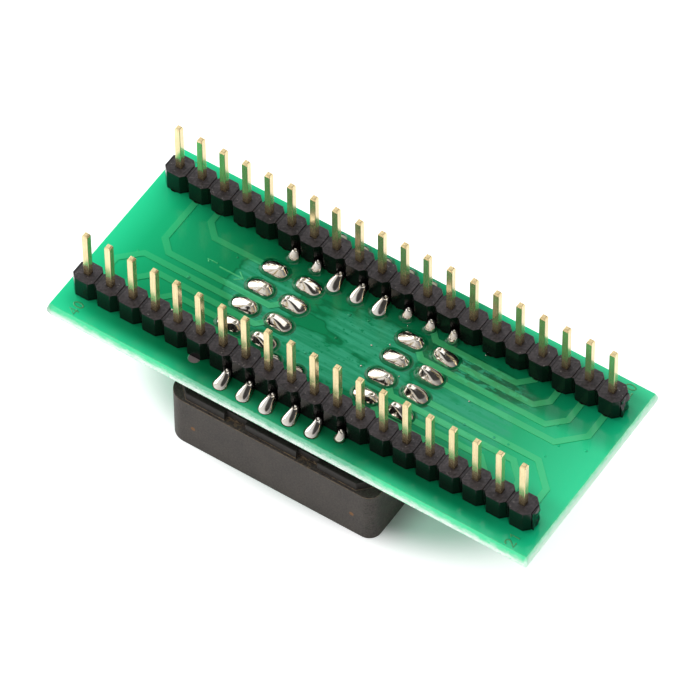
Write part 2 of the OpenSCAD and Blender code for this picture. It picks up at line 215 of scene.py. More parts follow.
def makeScratches():
    s = scratches
    group, inside, outside = newGroup("handlingScratches", ["Turn", "Density"], {"Mask": "Float"})
    turned = put(group, "ShaderNodeVectorRotate", {"Vector": objectMm(group), "Axis": (0, 0, 1),
                 "Angle": inside["Turn"]}, rotation_type="AXIS_ANGLE").outputs[0]
    lines = streaksAt(group, turned, s["stretch"], inside["Density"], *s["detail"])
    group.links.new(ramp(group, lines, *s["shown"]), outside["Mask"])
    return group


# green of the board along its length, in millimetres, with painted light where light comes through its ends
# and painted shade over the socket
boardTintAndPaintedLight = {
    "reach": 27.0,
    "stops": [(-26.6, (0.03, 0.94, 0.43)), (-23.2, (0.01, 0.62, 0.25)), (-20, (0.008, 0.46, 0.18)),
              (-15, (0.004, 0.32, 0.115)), (-9, (0.003, 0.28, 0.1)), (6, (0.003, 0.29, 0.11)),
              (12, (0.005, 0.38, 0.15)), (18, (0.004, 0.56, 0.225)), (26.6, (0.016, 0.93, 0.42))],
    # painted light along the long edges, where light comes through them, with less of it over the socket
    "edge": (0.04, 0.95, 0.44), "rim": (9.4, 11.2, 0.0, 0.9), "overSocket": (8.5, 12.5, 0.45, 1.0),
    # painted shade beside the strips, over the socket and to its right: from, to and share
    "paintedShade": (0.0, 0.06, 0.018), "steps": [(3.4, 5.4, 0.38), (8.0, 9.2, 0.12)],
    "paintedShadeLeft": (-13.0, -8.5), "paintedShadeRight": (17.0, 35.0, 1.0, 0.0),
    # more painted shade in front of the rear strip's right half, where it also starts further forward
    "rearRight": (10.0, 30.0), "rearHalf": (0.0, 3.0), "forward": (0.0, 0.4, 0.0, 1.2), "gain": 2.1,
}


def makeBoardTintAndPaintedLight():
    s = boardTintAndPaintedLight
    group, _, outside = newGroup("boardTintAndPaintedLight", [], {"Colour": "Color"})
    axes = axesOf(group, objectMm(group))
    # the board's green, with painted light through its ends and painted shade over the socket
    along = ramp(group, axes["X"], -s["reach"], s["reach"], kind="LINEAR")
    scale = put(group, "ShaderNodeValToRGB", {"Fac": along})
    points = scale.color_ramp.elements
    while len(points) < len(s["stops"]):
        points.new(0.5)
    for point, (x, colour) in zip(points, s["stops"]):
        point.position = (x + s["reach"]) / (2 * s["reach"])
        point.color = (*colour, 1)
    sideways = calc(group, "ABSOLUTE", axes["Y"])
    past = minus(group, axes["X"], socketX / mm)
    rear = times(group, ramp(group, past, *s["rearRight"], kind="LINEAR"),
                 ramp(group, axes["Y"], *s["rearHalf"]))
    nearer = plus(group, sideways, ramp(group, rear, *s["forward"]))
    # painted shade beside the strips, over the socket and to its right
    paintedShade = 0.0
    for start, end, share in s["steps"]:
        paintedShade = plus(group, ramp(group, nearer, start, end, 0.0, share), paintedShade)
    paintedShade = times(group, paintedShade, ramp(group, rear, 0.0, 1.0, 1.0, s["gain"], kind="LINEAR"))
    paintedShade = times(group, paintedShade, ramp(group, past, *s["paintedShadeLeft"]))
    paintedShade = times(group, paintedShade, ramp(group, past, *s["paintedShadeRight"]))
    withPaintedShade = mixColour(group, paintedShade, scale.outputs["Color"], s["paintedShade"])
    # painted light along the long edges, less of it over the socket
    beside = calc(group, "ABSOLUTE", past)
    rim = times(group, ramp(group, sideways, *s["rim"]), ramp(group, beside, *s["overSocket"]))
    group.links.new(mixColour(group, rim, withPaintedShade, s["edge"]), outside["Colour"])
    return group


# dried flux, in millimetres; a patch is given by middle and reach, from the middle of the pin rows
fluxFilm = {
    "patches": [(-1.5, -2.4, 6.2, 2.2), (1.2, 2.2, 5.2, 2.2), (-8.9, 0.2, 2.2, 3.2), (-11.8, 0.9, 2.2, 2.4),
                (4.4, 0.0, 2.0, 4.2), (15.0, -1.0, 7.2, 2.4), (12.5, 3.9, 5.5, 1.3), (18.2, 3.4, 2.4, 1.5)],
    # none on the socket's side, nor near the right end
    "upward": (9.0, 0.0), "rightEnd": (16, 20, 0.0, 1.5),
    # brushed on along the board, with soft borders
    "swirl": (0.3, 1.0), "swirlReach": (3.0, 3.0, 0), "drift": (0.5, 1.0), "driftSwing": 1.0,
    "streaks": ((0.16, 1.3, 1), 1.0), "streakSwing": 0.9, "border": (-0.2, 0.3),
    "lines": ((0.13, 2.4, 1), 1.0, 4.0, 0.65), "thick": (0.38, 0.6, 0.45, 1.0),
    "marks": ((1.1, 2.0, 1), 1.7, 3.0, 0.6), "bare": (0.6, 0.66, 1.0, 0.15), "fine": 2.6, "fineHeight": 0.3,
    # dark line along its borders, except on the right
    "rim": 0.12, "rimShare": 0.6, "rimEnd": (7, 11, 1.0, 0.0),
    # dark blots between the tracks on the right
    "stain": (11.6, 4.0, 7.5, 2.1), "stainFade": (0.6, 1.05, 1.0, 0.0),
    "blots": ((0.7, 2.0, 1), 1.3, 3.0, 0.6), "blotted": (0.44, 0.52),
}


def patchLevel(tree, place, patch):
    x, y, reachX, reachY = patch
    middle = (rowX / mm + x, y, 0)
    away = put(tree, "ShaderNodeVectorMath", {0: place, 1: middle}, operation="SUBTRACT").outputs[0]
    away = scaled(tree, away, (1 / reachX, 1 / reachY, 0))
    return put(tree, "ShaderNodeVectorMath", {0: away}, operation="LENGTH").outputs["Value"]


def onPinSide(tree, height, toLow=0.0, toHigh=1.0):
    return ramp(tree, height, boardLow.z / mm, boardTop / mm, toLow, toHigh)


def makeFlux():
    s = fluxFilm
    group, _, outside = newGroup("fluxFilm", [], {"Mask": "Float", "Rim": "Float", "Height": "Float"})
    place = objectMm(group)
    axes = axesOf(group, place)
    nearest = None
    for patch in s["patches"]:
        level = patchLevel(group, place, patch)
        nearest = level if nearest is None else calc(group, "MINIMUM", nearest, level)
    nearest = plus(group, nearest, onPinSide(group, axes["Z"], *s["upward"]))
    nearest = plus(group, nearest, ramp(group, axes["X"], *s["rightEnd"]))
    swirl = scaled(group, noiseAt(group, place, *s["swirl"], output="Color"), s["swirlReach"])
    swept = put(group, "ShaderNodeVectorMath", {0: place, 1: swirl}, operation="ADD").outputs[0]
    push = plus(group, swing(group, noiseAt(group, swept, *s["drift"]), s["driftSwing"]),
                swing(group, streaksAt(group, place, *s["streaks"]), s["streakSwing"]))
    level = plus(group, minus(group, 1.0, nearest), push)
    mask = ramp(group, level, *s["border"])
    thick = ramp(group, streaksAt(group, place, *s["lines"]), *s["thick"])
    bare = ramp(group, streaksAt(group, place, *s["marks"]), *s["bare"])
    group.links.new(times(group, mask, times(group, thick, bare)), outside["Mask"])
    away = calc(group, "ABSOLUTE", plus(group, level, s["rim"]))
    rim = times(group, ramp(group, away, 0.0, s["rim"], s["rimShare"], 0.0),
                ramp(group, axes["X"], *s["rimEnd"]))
    stained = times(group, ramp(group, streaksAt(group, place, *s["blots"]), *s["blotted"]),
                    ramp(group, patchLevel(group, place, s["stain"]), *s["stainFade"]))
    stained = times(group, stained, onPinSide(group, axes["Z"]))
    group.links.new(calc(group, "MAXIMUM", rim, stained), outside["Rim"])
    fine = times(group, noiseAt(group, place, s["fine"]), s["fineHeight"])
    group.links.new(plus(group, mask, fine), outside["Height"])
    return group


grainGroup = makeGrain()
scratchGroup = makeScratches()
boardTintAndPaintedLightGroup = makeBoardTintAndPaintedLight()
fluxGroup = makeFlux()


# finishes; gloss is the roughness at a mask's two ends, relief a bump's depth and strength

lacquer = {"IOR": 1.52, "Specular_IOR_Level": 0.28}  # the solder mask, on board and tracks


def fluxedTint(tree, flux, s):
    film = times(tree, flux["Mask"], s["filmShare"])
    filmed = mixColour(tree, film, useGroup(tree, boardTintAndPaintedLightGroup)["Colour"], s["film"])
    return mixColour(tree, times(tree, flux["Rim"], s["rimShare"]), filmed, s["rim"])


boardFinish = {"film": (0.042, 0.51, 0.28), "filmShare": 0.8, "rim": (0.0, 0.12, 0.035), "rimShare": 0.8,
               "torn": (3.2, 3.0, 0.6), "tornSwing": 0.35, "chip": (0.4, 0.92, 0.55),
               "chipped": (-0.35, -0.1, 0.0, 0.5), "gloss": (0.12, 0.2), "relief": (0.012 * mm, 0.4)}


def makeBoardMask():
    material, tree, shader = newMaterial("boardMask")
    s = boardFinish
    flux = useGroup(tree, fluxGroup)
    place = objectMm(tree)
    axes = axesOf(tree, place)
    # the mask is worn away along the snapped front edge and right end
    endward = minus(tree, axes["X"], boardHigh.x / mm)
    frontward = minus(tree, times(tree, axes["Y"], -1.0), boardHigh.y / mm)
    torn = swing(tree, noiseAt(tree, place, *s["torn"]), s["tornSwing"])
    chip = ramp(tree, plus(tree, calc(tree, "MAXIMUM", endward, frontward), torn), *s["chipped"])
    feed(tree, shader, Base_Color=mixColour(tree, chip, fluxedTint(tree, flux, s), s["chip"]), **lacquer,
         Roughness=ramp(tree, flux["Mask"], 0, 1, *s["gloss"]),
         Normal=bump(tree, flux["Height"], *s["relief"]))
    return material


# copper stops the light that comes through the board's ends, so signs are dark there
trackFinish = {"film": (0.08, 0.68, 0.35), "filmShare": 0.6, "rim": (0.01, 0.2, 0.05), "rimShare": 0.7,
               "light": (0.14, 0.88, 0.32), "lit": (-20, 8), "leftEnd": 0.6,
               "dark": (0.08, 0.4, 0.16), "darkFrom": (18, 22),
               "gloss": (0.12, 0.22), "relief": (0.01 * mm, 0.4),
               # shares of the light tone, and of the dark one at the ends
               "track": (0.36, 0.0), "sign": (0.7, 0.75)}


def makeTrackMask(name, light, dark):
    material, tree, shader = newMaterial(name)
    s = trackFinish
    flux = useGroup(tree, fluxGroup)
    along = axesOf(tree, objectMm(tree))["X"]
    lit = ramp(tree, along, *s["lit"], light * s["leftEnd"], light)
    colour = mixColour(tree, lit, fluxedTint(tree, flux, s), s["light"])
    ends = ramp(tree, calc(tree, "ABSOLUTE", along), *s["darkFrom"], 0.0, dark)
    feed(tree, shader, Base_Color=mixColour(tree, ends, colour, s["dark"]), **lacquer,
         Roughness=ramp(tree, flux["Mask"], 0, 1, *s["gloss"]),
         Normal=bump(tree, flux["Height"], *s["relief"]))
    return material


# flux round each joint; its dark colour is partly the flux and partly painted shade at the solder's foot
poolFinish = {"dark": (0.0, 0.1, 0.03), "cloud": 1.1, "cloudy": (0.35, 0.65), "darkened": (0.35, 0.75),
              "gloss": (0.06, 0.14), "ior": 1.52, "specular": 0.3}


def makePool():
    material, tree, shader = newMaterial("fluxPoolAndShade")
    s = poolFinish
    cloud = noiseAt(tree, objectMm(tree), s["cloud"])
    # darker in cloudy patches: partly the flux, partly painted shade
    dark = ramp(tree, cloud, *s["cloudy"], *s["darkened"])
    feed(tree, shader, Base_Color=mixColour(tree, dark, useGroup(tree, boardTintAndPaintedLightGroup)["Colour"], s["dark"]),
         Roughness=ramp(tree, cloud, *s["cloudy"], *s["gloss"]),
         IOR=s["ior"], Specular_IOR_Level=s["specular"])
    return material


fibreFinish = {"green": (0.03, 0.74, 0.32), "shaded": (0.08, 0.46, 0.25), "besideSocket": (8.5, 13.0),
               "dull": (0.55, 0.84, 0.66), "white": (0.97, 1.0, 0.97), "end": (0.55, 0.95, 0.7),
               "strands": ((0.8, 0.8, 2.4), 1.6, 4.0, 0.65), "strandSwing": 1.0,
               "specks": (4.5, 3.0, 0.7), "speckSwing": 1.2, "speckled": (0.38, 0.56),
               # in millimetres from the end, and up from the board's underside
               "atEnd": (-0.5, -0.2, 0.0, 0.6), "endDrop": 0.9,
               "upper": (0.35, 1.4, 0.0, 0.95), "lower": (0.0, 0.25, 0.5, 0.0),
               # painted glow: the edge gives off light in its own colour, weaker at the left end
               "glow": 0.38, "leftPaintedGlow": (0.2, 0.6, 0.85, 0.0),
               "gloss": (0.3, 0.7, 0.45, 0.75), "relief": (0.04 * mm, 0.5)}


def makeFibre():
    material, tree, shader = newMaterial("glassFibre")
    s = fibreFinish
    place = objectMm(tree)
    axes = axesOf(tree, place)
    # the ends let green light through, and the edge over the socket gets less of it
    fromEnd = minus(tree, calc(tree, "ABSOLUTE", axes["X"]), boardHigh.x / mm)
    atEnd = ramp(tree, fromEnd, *s["atEnd"])
    beside = ramp(tree, gapTo(tree, axes["X"], socketX / mm), *s["besideSocket"])
    green = mixColour(tree, beside, s["shaded"], s["green"])
    strands = streaksAt(tree, place, *s["strands"])
    specks = noiseAt(tree, place, *s["specks"])
    pale = mixColour(tree, ramp(tree, specks, *s["speckled"]), s["dull"], s["white"])
    pale = mixColour(tree, atEnd, pale, s["end"])
    torn = plus(tree, minus(tree, axes["Z"], boardLow.z / mm), swing(tree, strands, s["strandSwing"]))
    torn = plus(tree, torn, swing(tree, specks, s["speckSwing"]))
    upper = ramp(tree, minus(tree, torn, times(tree, atEnd, s["endDrop"])), *s["upper"])
    lower = ramp(tree, torn, *s["lower"])
    colour = mixColour(tree, calc(tree, "MAXIMUM", upper, lower), pale, green)
    # painted glow, weaker at the left end
    fromLeft = minus(tree, axes["X"], boardLow.x / mm)
    glow = mixColour(tree, ramp(tree, fromLeft, *s["leftPaintedGlow"]), colour, (0, 0, 0))
    feed(tree, shader, Base_Color=colour, Emission_Color=glow, Emission_Strength=s["glow"],
         Roughness=ramp(tree, strands, *s["gloss"]), Normal=bump(tree, strands, *s["relief"]))
    return material


# top faces lighter than the sides: partly their scuffed finish, partly painted light
stripFinish = {"side": (0.0035, 0.003, 0.0032), "low": (0.01, 0.0085, 0.01), "high": (0.07, 0.06, 0.066),
               "grain": {"Scale": 4.0, "Speckle": 1.2}, "top": (0.5, 0.9),
               "long": {"Turn": 0.12, "Density": 1.5}, "cross": {"Turn": 1.1, "Density": 1.1},
               "scratch": (0.16, 0.14, 0.15), "scratchShare": 0.5,
               "speck": (0.3, 0.29, 0.27), "specks": (4.5, 1.0), "speckled": (0.72, 0.76, 0.0, 0.7),
               # painted shade: a dark line along one edge of each break groove
               "score": 0.17, "scored": (0.03, 0.07, 0.95, 0.0),
               "gloss": (0.18, 0.45), "ior": 1.55, "specular": 0.27, "relief": (0.02 * mm, 0.5)}


def makeStripPlastic():
    material, tree, shader = newMaterial("stripPlastic")
    s = stripFinish
    grain = useGroup(tree, grainGroup, **s["grain"])
    worn = calc(tree, "MAXIMUM", useGroup(tree, scratchGroup, **s["long"])["Mask"],
                useGroup(tree, scratchGroup, **s["cross"])["Mask"])
    place = objectMm(tree)
    top = mixColour(tree, grain["Shade"], s["low"], s["high"])
    top = mixColour(tree, times(tree, worn, s["scratchShare"]), top, s["scratch"])
    top = mixColour(tree, ramp(tree, noiseAt(tree, place, *s["specks"]), *s["speckled"]), top, s["speck"])
    half = gridStep / mm / 2
    along = minus(tree, axesOf(tree, place)["X"], rowX / mm)
    pitch = put(tree, "ShaderNodeMath", {0: along, 1: half, 2: -half}, operation="WRAP").outputs[0]
    # painted shade along one edge of each break groove
    top = mixColour(tree, ramp(tree, gapTo(tree, pitch, s["score"]), *s["scored"]), top, s["side"])
    # top faces lighter than the sides: partly their scuffed finish, partly painted light
    flat = ramp(tree, facingUp(tree), *s["top"])
    feed(tree, shader, Base_Color=mixColour(tree, flat, s["side"], top), IOR=s["ior"],
         Specular_IOR_Level=s["specular"], Roughness=ramp(tree, flat, 0, 1, *s["gloss"]),
         Normal=bump(tree, grain["Height"], *s["relief"]))
    return material


socketFinish = {
    "low": (0.03, 0.0245, 0.021), "high": (0.12, 0.105, 0.092), "grain": {"Scale": 5.0, "Speckle": 1.3},
    "scratches": {"Turn": 2.1, "Density": 0.6}, "scratch": (0.18, 0.14, 0.11), "scratchShare": 0.1,
    # brown spots left by the moulding tool on the front wall: place from the pin rows' middle, height
    "spots": [(-9.86, 2.84), (7.9, 2.82)], "spot": (0.32, 0.14, 0.04), "spotFade": (0.18, 0.3, 0.8, 0.0),
    # painted shade above the wall's top edge, under the board
    "wallTop": 6.4, "above": (0.009, 0.008, 0.006), "paintedShadeFade": (0.0, 0.12, 0.0, 0.75),
    # flash along that edge and in the recesses beside the middle
    "flash": (0.24, 0.17, 0.1), "bits": (2.4, 3.0, 0.7), "upright": (0.6, 0.85, 1.0, 0.0),
    "edgeWidth": (0.05, 0.1, 1.0, 0.0), "edgeBits": (0.4, 0.54, 0.2, 1.0),
    "recess": 4.0, "recessWidth": (0.85, 1.15, 1.0, 0.0), "recessBits": (0.5, 0.56, 0.0, 0.6),
    "recessHeight": 0.15, "recessFade": (0.12, 0.3, 1.0, 0.0),
    # ends of the locating pegs, in the board
    "pegEnd": (0.28, 0.24, 0.23), "pegFade": (-0.2, -0.1),
    "gloss": (0.5, 0.65), "specular": 0.25, "relief": (0.015 * mm, 0.5),
}


def socketFlash(tree, axes, place, above):
    s = socketFinish
    bits = noiseAt(tree, place, *s["bits"])
    upright = ramp(tree, facingUp(tree), *s["upright"])
    edge = times(tree, ramp(tree, calc(tree, "ABSOLUTE", above), *s["edgeWidth"]),
                 times(tree, upright, ramp(tree, bits, *s["edgeBits"])))
    sideways = gapTo(tree, axes["X"], socketX / mm)
    within = ramp(tree, gapTo(tree, sideways, s["recess"]), *s["recessWidth"])
    burr = times(tree, times(tree, within, ramp(tree, bits, *s["recessBits"])),
                 ramp(tree, gapTo(tree, above, s["recessHeight"]), *s["recessFade"]))
    return calc(tree, "MAXIMUM", edge, burr)


def makeSocketPlastic():
    material, tree, shader = newMaterial("socketPlastic")
    s = socketFinish
    grain = useGroup(tree, grainGroup, **s["grain"])
    scratch = useGroup(tree, scratchGroup, **s["scratches"])["Mask"]
    colour = mixColour(tree, grain["Shade"], s["low"], s["high"])
    colour = mixColour(tree, times(tree, scratch, s["scratchShare"]), colour, s["scratch"])
    place = objectMm(tree)
    axes = axesOf(tree, place)
    for x, z in s["spots"]:
        spot = (rowX / mm + x, socketLow.y / mm, z)
        away = put(tree, "ShaderNodeVectorMath", {0: place, 1: spot}, operation="DISTANCE").outputs["Value"]
        colour = mixColour(tree, ramp(tree, away, *s["spotFade"]), colour, s["spot"])
    above = minus(tree, axes["Z"], s["wallTop"])
    # painted shade above the wall's top edge, under the board
    colour = mixColour(tree, ramp(tree, above, *s["paintedShadeFade"]), colour, s["above"])
    colour = mixColour(tree, socketFlash(tree, axes, place, above), colour, s["flash"])
    peg = ramp(tree, minus(tree, axes["Z"], boardTop / mm), *s["pegFade"])
    feed(tree, shader, Base_Color=mixColour(tree, peg, colour, s["pegEnd"]),
         Roughness=ramp(tree, grain["Shade"], 0, 1, *s["gloss"]), Specular_IOR_Level=s["specular"],
         Normal=bump(tree, grain["Height"], *s["relief"]))
    return material


giltFinish = {"low": (0.74, 0.57, 0.3), "high": (0.95, 0.83, 0.49), "grain": {"Scale": 5.0, "Speckle": 0.5},
              "drawn": ((7.0, 7.0, 0.3), 1.0), "drawnShade": (0.35, 0.65, 0.4, 1.0),
              # browner at the foot, duller at the tip, in millimetres up from the strip and the tip
              "foot": (0.22, 0.13, 0.07), "footFade": (0.0, 1.2, 0.6, 0.0), "tip": (-0.12, -0.05, 0.0, 0.4),
              "gloss": (0.18, 0.12), "metallic": 0.8}


def makeGilt():
    material, tree, shader = newMaterial("gilt")
    s = giltFinish
    place = objectMm(tree)
    height = axesOf(tree, place)["Z"]
    drawn = ramp(tree, streaksAt(tree, place, *s["drawn"]), *s["drawnShade"])
    worn = times(tree, useGroup(tree, grainGroup, **s["grain"])["Shade"], drawn)
    foot = ramp(tree, minus(tree, height, stripTop / mm), *s["footFade"])
    tip = ramp(tree, minus(tree, height, cadHigh.z / mm), *s["tip"])
    colour = mixColour(tree, worn, s["low"], s["high"])
    feed(tree, shader, Base_Color=mixColour(tree, foot, colour, s["foot"]),
         Roughness=plus(tree, ramp(tree, worn, 0, 1, *s["gloss"]), tip), Metallic=s["metallic"])
    return material


solderFinish = {"low": (0.64, 0.56, 0.45), "high": (0.93, 0.91, 0.87),
                "grain": {"Scale": 1.6, "Speckle": 0.9},
                # dull with flux behind the rear strip
                "fluxed": (0.24, 0.26, 0.14), "coat": (9.3, 9.8, 0.0, 0.8), "coatRough": 0.3,
                "gloss": (0.06, 0.16), "relief": (0.012 * mm, 0.3)}


def makeSolder():
    material, tree, shader = newMaterial("solder")
    s = solderFinish
    grain = useGroup(tree, grainGroup, **s["grain"])
    axes = axesOf(tree, objectMm(tree))
    coat = times(tree, ramp(tree, axes["Y"], *s["coat"]), onPinSide(tree, axes["Z"]))
    bright = mixColour(tree, grain["Shade"], s["low"], s["high"])
    gloss = ramp(tree, grain["Shade"], 0, 1, *s["gloss"])
    feed(tree, shader, Base_Color=mixColour(tree, coat, bright, s["fluxed"]), Metallic=1.0,
         Roughness=plus(tree, gloss, times(tree, coat, s["coatRough"])),
         Normal=bump(tree, grain["Height"], *s["relief"]))
    return material


tinFinish = {"grain": {"Scale": 6.0, "Speckle": 0.6}, "gloss": (0.2, 0.36), "relief": (0.008 * mm, 0.4),
             # pads are dark on the pin side
             "pad": [(0.66, 0.58, 0.46), (0.86, 0.8, 0.68), (0.05, 0.09, 0.04)],
             "contact": [(0.62, 0.59, 0.54), (0.82, 0.8, 0.76)]}


def makeTin(name, low, high, fluxed=None):
    material, tree, shader = newMaterial(name)
    s = tinFinish
    grain = useGroup(tree, grainGroup, **s["grain"])
    colour = mixColour(tree, grain["Shade"], low, high)
    if fluxed:
        colour = mixColour(tree, onPinSide(tree, axesOf(tree, objectMm(tree))["Z"]), colour, fluxed)
    feed(tree, shader, Base_Color=colour, Metallic=1.0,
         Roughness=ramp(tree, grain["Shade"], 0, 1, *s["gloss"]),
         Normal=bump(tree, grain["Height"], *s["relief"]))
    return material


finishes = {
    "boardMask": makeBoardMask(),
    "trackMask": makeTrackMask("trackMask", *trackFinish["track"]),
    "signMask": makeTrackMask("signMask", *trackFinish["sign"]),
    "fibre": makeFibre(),
    "pool": makePool(),
    "strip": makeStripPlastic(),
    "socket": makeSocketPlastic(),
    "gilt": makeGilt(),
    "solder": makeSolder(),
    "pad": makeTin("tinnedPad", *tinFinish["pad"]),
    "contact": makeTin("contactMetal", *tinFinish["contact"]),
}
print("finishes made:", len(finishes))


# helpers for pieces

mergeReach = 0.0004 * mm


def newPiece(name, bm, *materials, slot, smooth=None):
    mesh = bpy.data.meshes.new(name)
    bm.to_mesh(mesh)
    bm.free()
    if "custom_normal" in mesh.attributes:
        mesh.attributes.remove(mesh.attributes["custom_normal"])
    for material in materials:
        mesh.materials.append(material)
    if smooth:
        mesh.shade_smooth()
        mesh.set_sharp_from_angle(angle=math.radians(smooth))
    piece = bpy.data.objects.new(name, mesh)
    scene.collection.objects.link(piece)
    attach(piece, "root")
    return piece


def copyNode(name, flat=0.5):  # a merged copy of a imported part, with its flat faces whole again
    bm = bmesh.new()
    bm.from_mesh(nodes[name].data)
    bmesh.ops.remove_doubles(bm, verts=bm.verts, dist=mergeReach)
    if flat:
        bmesh.ops.dissolve_limit(bm, angle_limit=math.radians(flat), verts=bm.verts, edges=bm.edges)
    for face in bm.faces:
        face.smooth = False
    return bm


def soften(bm, width, segments=2, least=40, chosen=None):
    edges = [e for e in bm.edges if len(e.link_faces) == 2
             and e.calc_face_angle(0) > math.radians(least) and (chosen is None or chosen(e))]
    made = bmesh.ops.bevel(bm, geom=edges, offset=width, offset_type="OFFSET", segments=segments,
                           profile=0.5, affect="EDGES", clamp_overlap=True, material=-1)
    for face in made["faces"]:
        face.smooth = True


def dress(names, material):
    for name in names:
        mesh = nodes[name].data
        mesh.materials.clear()
        mesh.materials.append(material)


# circuit board: mask on its faces, torn fibre on its snapped edges

board = {"bevel": 0.2 * mm, "band": (0.6 * mm, 1.0 * mm), "rim": 0.22 * mm, "step": 0.17 * mm, "rows": 8,
         # depth of the tear, then how fast it fades at the corners, and scale and share of its two noises
         "rough": 0.1 * mm, "fade": 60, "tear": (1.1, 0.5), "fineTear": (4, 0.3)}


def edgePoint(side, along, down):
    s = board
    thick = boardHigh.z - boardLow.z
    fall = down * thick
    bandTop, bandFoot = s["band"]
    out = -s["bevel"] * max((bandTop - fall) / bandTop, (fall - bandFoot) / (thick - bandFoot), 0)
    endX, endY = boardHigh.x + out, boardHigh.y + out
    flat = {"front": ((2 * along - 1) * endX, -endY), "rear": ((1 - 2 * along) * endX, endY),
            "left": (-endX, (1 - 2 * along) * endY), "right": (endX, (2 * along - 1) * endY)}[side]
    point = Vector((*flat, boardHigh.z - fall))
    inward = {"front": (0, 1, 0), "rear": (0, -1, 0), "left": (1, 0, 0), "right": (-1, 0, 0)}[side]
    fade = math.sin(math.pi * down) ** 0.5 * min(1, along * s["fade"], (1 - along) * s["fade"])
    tear = 0.5 + sum(share * noise.noise(point / mm * scale) for scale, share in (s["tear"], s["fineTear"]))
    return point + Vector(inward) * s["rough"] * fade * max(0, tear)


def addEdge(bm, side):
    length = 2 * (boardHigh.x if side in ("front", "rear") else boardHigh.y)
    count = round(length / board["step"])
    grid = bmesh.ops.create_grid(bm, x_segments=count, y_segments=board["rows"], size=0.5)["verts"]
    for face in {f for v in grid for f in v.link_faces}:
        face.material_index = 1
        face.smooth = True
    for vert in grid:
        vert.co = edgePoint(side, vert.co.x + 0.5, 0.5 - vert.co.y)


def makeBoard():
    bm = copyNode("circuit_board", flat=0)

    def nearRim(vert):
        return max(abs(vert.co.x) - boardHigh.x, abs(vert.co.y) - boardHigh.y) > -board["rim"]

    for face in bm.faces:
        face.material_index = 0 if abs(face.normal.z) > 0.99 else 1
    rim = [f for f in bm.faces if f.material_index == 1 and all(nearRim(v) for v in f.verts)]
    bmesh.ops.delete(bm, geom=rim, context="FACES")
    for side in sides:
        addEdge(bm, side)
    piece = newPiece("boardBody", bm, finishes["boardMask"], finishes["fibre"], slot="board_mask")
    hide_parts("circuit_board")


makeBoard()
print("board made")


# copper tracks under the mask, with sloping sides

tracks = {"slope": 0.045 * mm, "segments": 3, "least": 60}


def makeTracks():
    bm = copyNode("pin_side_tracks")

    def upper(edge):
        return min(v.co.z for v in edge.verts) > copperTop - hair

    soften(bm, tracks["slope"], segments=tracks["segments"], least=tracks["least"], chosen=upper)
    piece = newPiece("pinTracks", bm, finishes["trackMask"], slot="track_mask")
    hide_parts("pin_side_tracks")


makeTracks()
print("tracks made")


# header strips; the nub on the right end is where each was broken off

strip = {"edge": 0.03 * mm, "nubDepth": 0.02 * mm, "cuts": 6,
         # depth of the torn face, its middle, and share and scale of its noise
         "torn": 0.26 * mm, "tornMiddle": 0.45, "tornSwing": 0.8, "tornScale": 1.7}


def makeStrip(side):
    s = strip
    bm = copyNode(side + "_header_strip")
    tornAt = stripHigh.x - s["nubDepth"]
    soften(bm, s["edge"], chosen=lambda e: max(v.co.x for v in e.verts) < tornAt)
    nub = {e for f in bm.faces if f.normal.x > 0.9 and f.calc_center_median().x > tornAt for e in f.edges}
    bmesh.ops.subdivide_edges(bm, edges=list(nub), cuts=s["cuts"], use_grid_fill=True)
    for vert in bm.verts:
        if vert.co.x > tornAt:
            tear = s["tornMiddle"] + s["tornSwing"] * noise.noise(vert.co / mm * s["tornScale"])
            vert.co.x -= s["torn"] * max(0, tear)
    piece = newPiece(side + "Strip", bm, finishes["strip"], slot="strip_plastic")
    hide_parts(side + "_header_strip")


for side in ("front", "rear"):
    makeStrip(side)
print("strips made")


# header pins: drawn square wire with swaged ends

pin = {"edge": 0.04 * mm, "segments": 3, "least": 15, "lean": 0.006, "seed": 11}


def makePin(name, dice):
    s = pin
    bm = copyNode(name)
    soften(bm, s["edge"], segments=s["segments"], least=s["least"])
    low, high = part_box(name)
    foot = Vector(((low.x + high.x) / 2, (low.y + high.y) / 2, stripTop))
    lean = (Matrix.Rotation(dice.uniform(-1, 1) * s["lean"], 4, "X")
            @ Matrix.Rotation(dice.uniform(-1, 1) * s["lean"], 4, "Y"))
    upper = [v for v in bm.verts if v.co.z > stripTop]
    bmesh.ops.transform(bm, matrix=lean, verts=upper, space=Matrix.Translation(-foot))
    piece = newPiece(name.replace("header_pin_", "pin"), bm, finishes["gilt"], slot="gilt")
    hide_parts(name)


pinDice = random.Random(pin["seed"])
for name in sorted(n for n in nodes if n.startswith("header_pin_")):
    makePin(name, pinDice)
print("pins made")


# chip socket, with tighter corners on the right

socket = {"edge": 0.12 * mm, "segments": 3, "flat": 2, "wall": 0.5 * mm,
          "corner": 1.8 * mm, "tight": 1.3 * mm, "onArc": 0.97}


def tightenCorners(bm):
    s = socket
    half = socketHalf - s["corner"]
    for vert in bm.verts:
        x, y = vert.co.x - socketX, vert.co.y
        reach = Vector((abs(x) - half, abs(y) - half))
        if x > 0 and min(reach) > -hair and reach.length > s["onArc"] * s["corner"]:
            reach = reach * s["tight"] / s["corner"] + Vector((1, 1)) * (s["corner"] - s["tight"])
            vert.co.x = socketX + half + reach.x
            vert.co.y = math.copysign(half + reach.y, y)


def makeSocket():
    s = socket
    bm = copyNode("socket_body", flat=s["flat"])
    tightenCorners(bm)

    def outer(edge):
        return all(max(abs(v.co.x - socketX), abs(v.co.y)) > socketHalf - s["wall"] for v in edge.verts)

    soften(bm, s["edge"], segments=s["segments"], chosen=outer)
    piece = newPiece("socketBody", bm, finishes["socket"], slot="socket_plastic")
    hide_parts("socket_body")


makeSocket()
print("socket made")


# solder drawn up round the socket's tails

